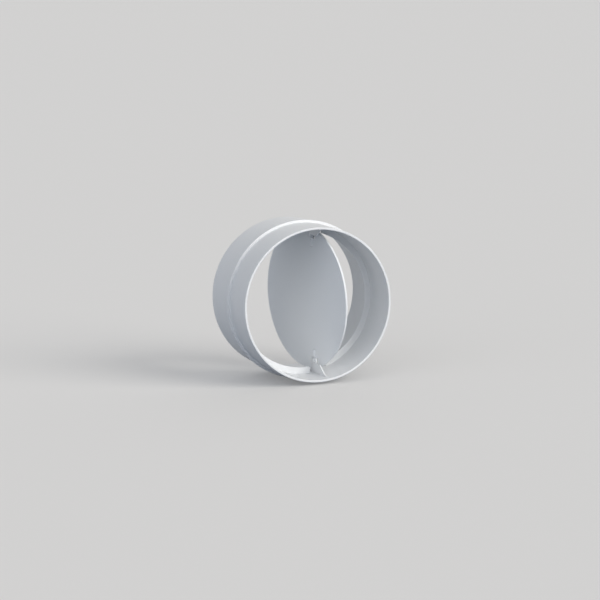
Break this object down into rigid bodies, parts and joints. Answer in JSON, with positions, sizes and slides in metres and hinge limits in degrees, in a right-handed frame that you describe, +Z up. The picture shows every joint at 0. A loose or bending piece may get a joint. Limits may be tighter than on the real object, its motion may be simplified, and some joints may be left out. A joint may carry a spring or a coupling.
{
  "type": "round duct connector with check valve",
  "caption": "Round plastic duct connector with a stop bead outside and an off-centre butterfly flap inside that lets air through one way.",
  "frame": {"origin": "on the duct's axis, in the middle plane of the stop bead", "axes": "+Z up along the flap's hinge axis as pictured, +Y along the duct from the front rim to the rear rim, the way the air flows; +X to the side on which the hinge is off centre"},
  "size_m": [0.1034, 0.0916, 0.1034],
  "materials": {
    "duct_plastic": "smooth white moulded plastic with a soft gloss",
    "flap_plastic": "smooth white moulded plastic with a soft gloss"
  },
  "bodies": {
    "duct": {"duct_body": "duct_plastic"},
    "check_flap": {"flap": "flap_plastic"}
  },
  "joints": [
    {"name": "flap_hinge", "type": "hinge", "parent": "duct", "child": "check_flap", "pos_m": [0.0082, 0, 0], "axis": [0, 0, 1], "range_deg": [-14, 78]}
  ]
}
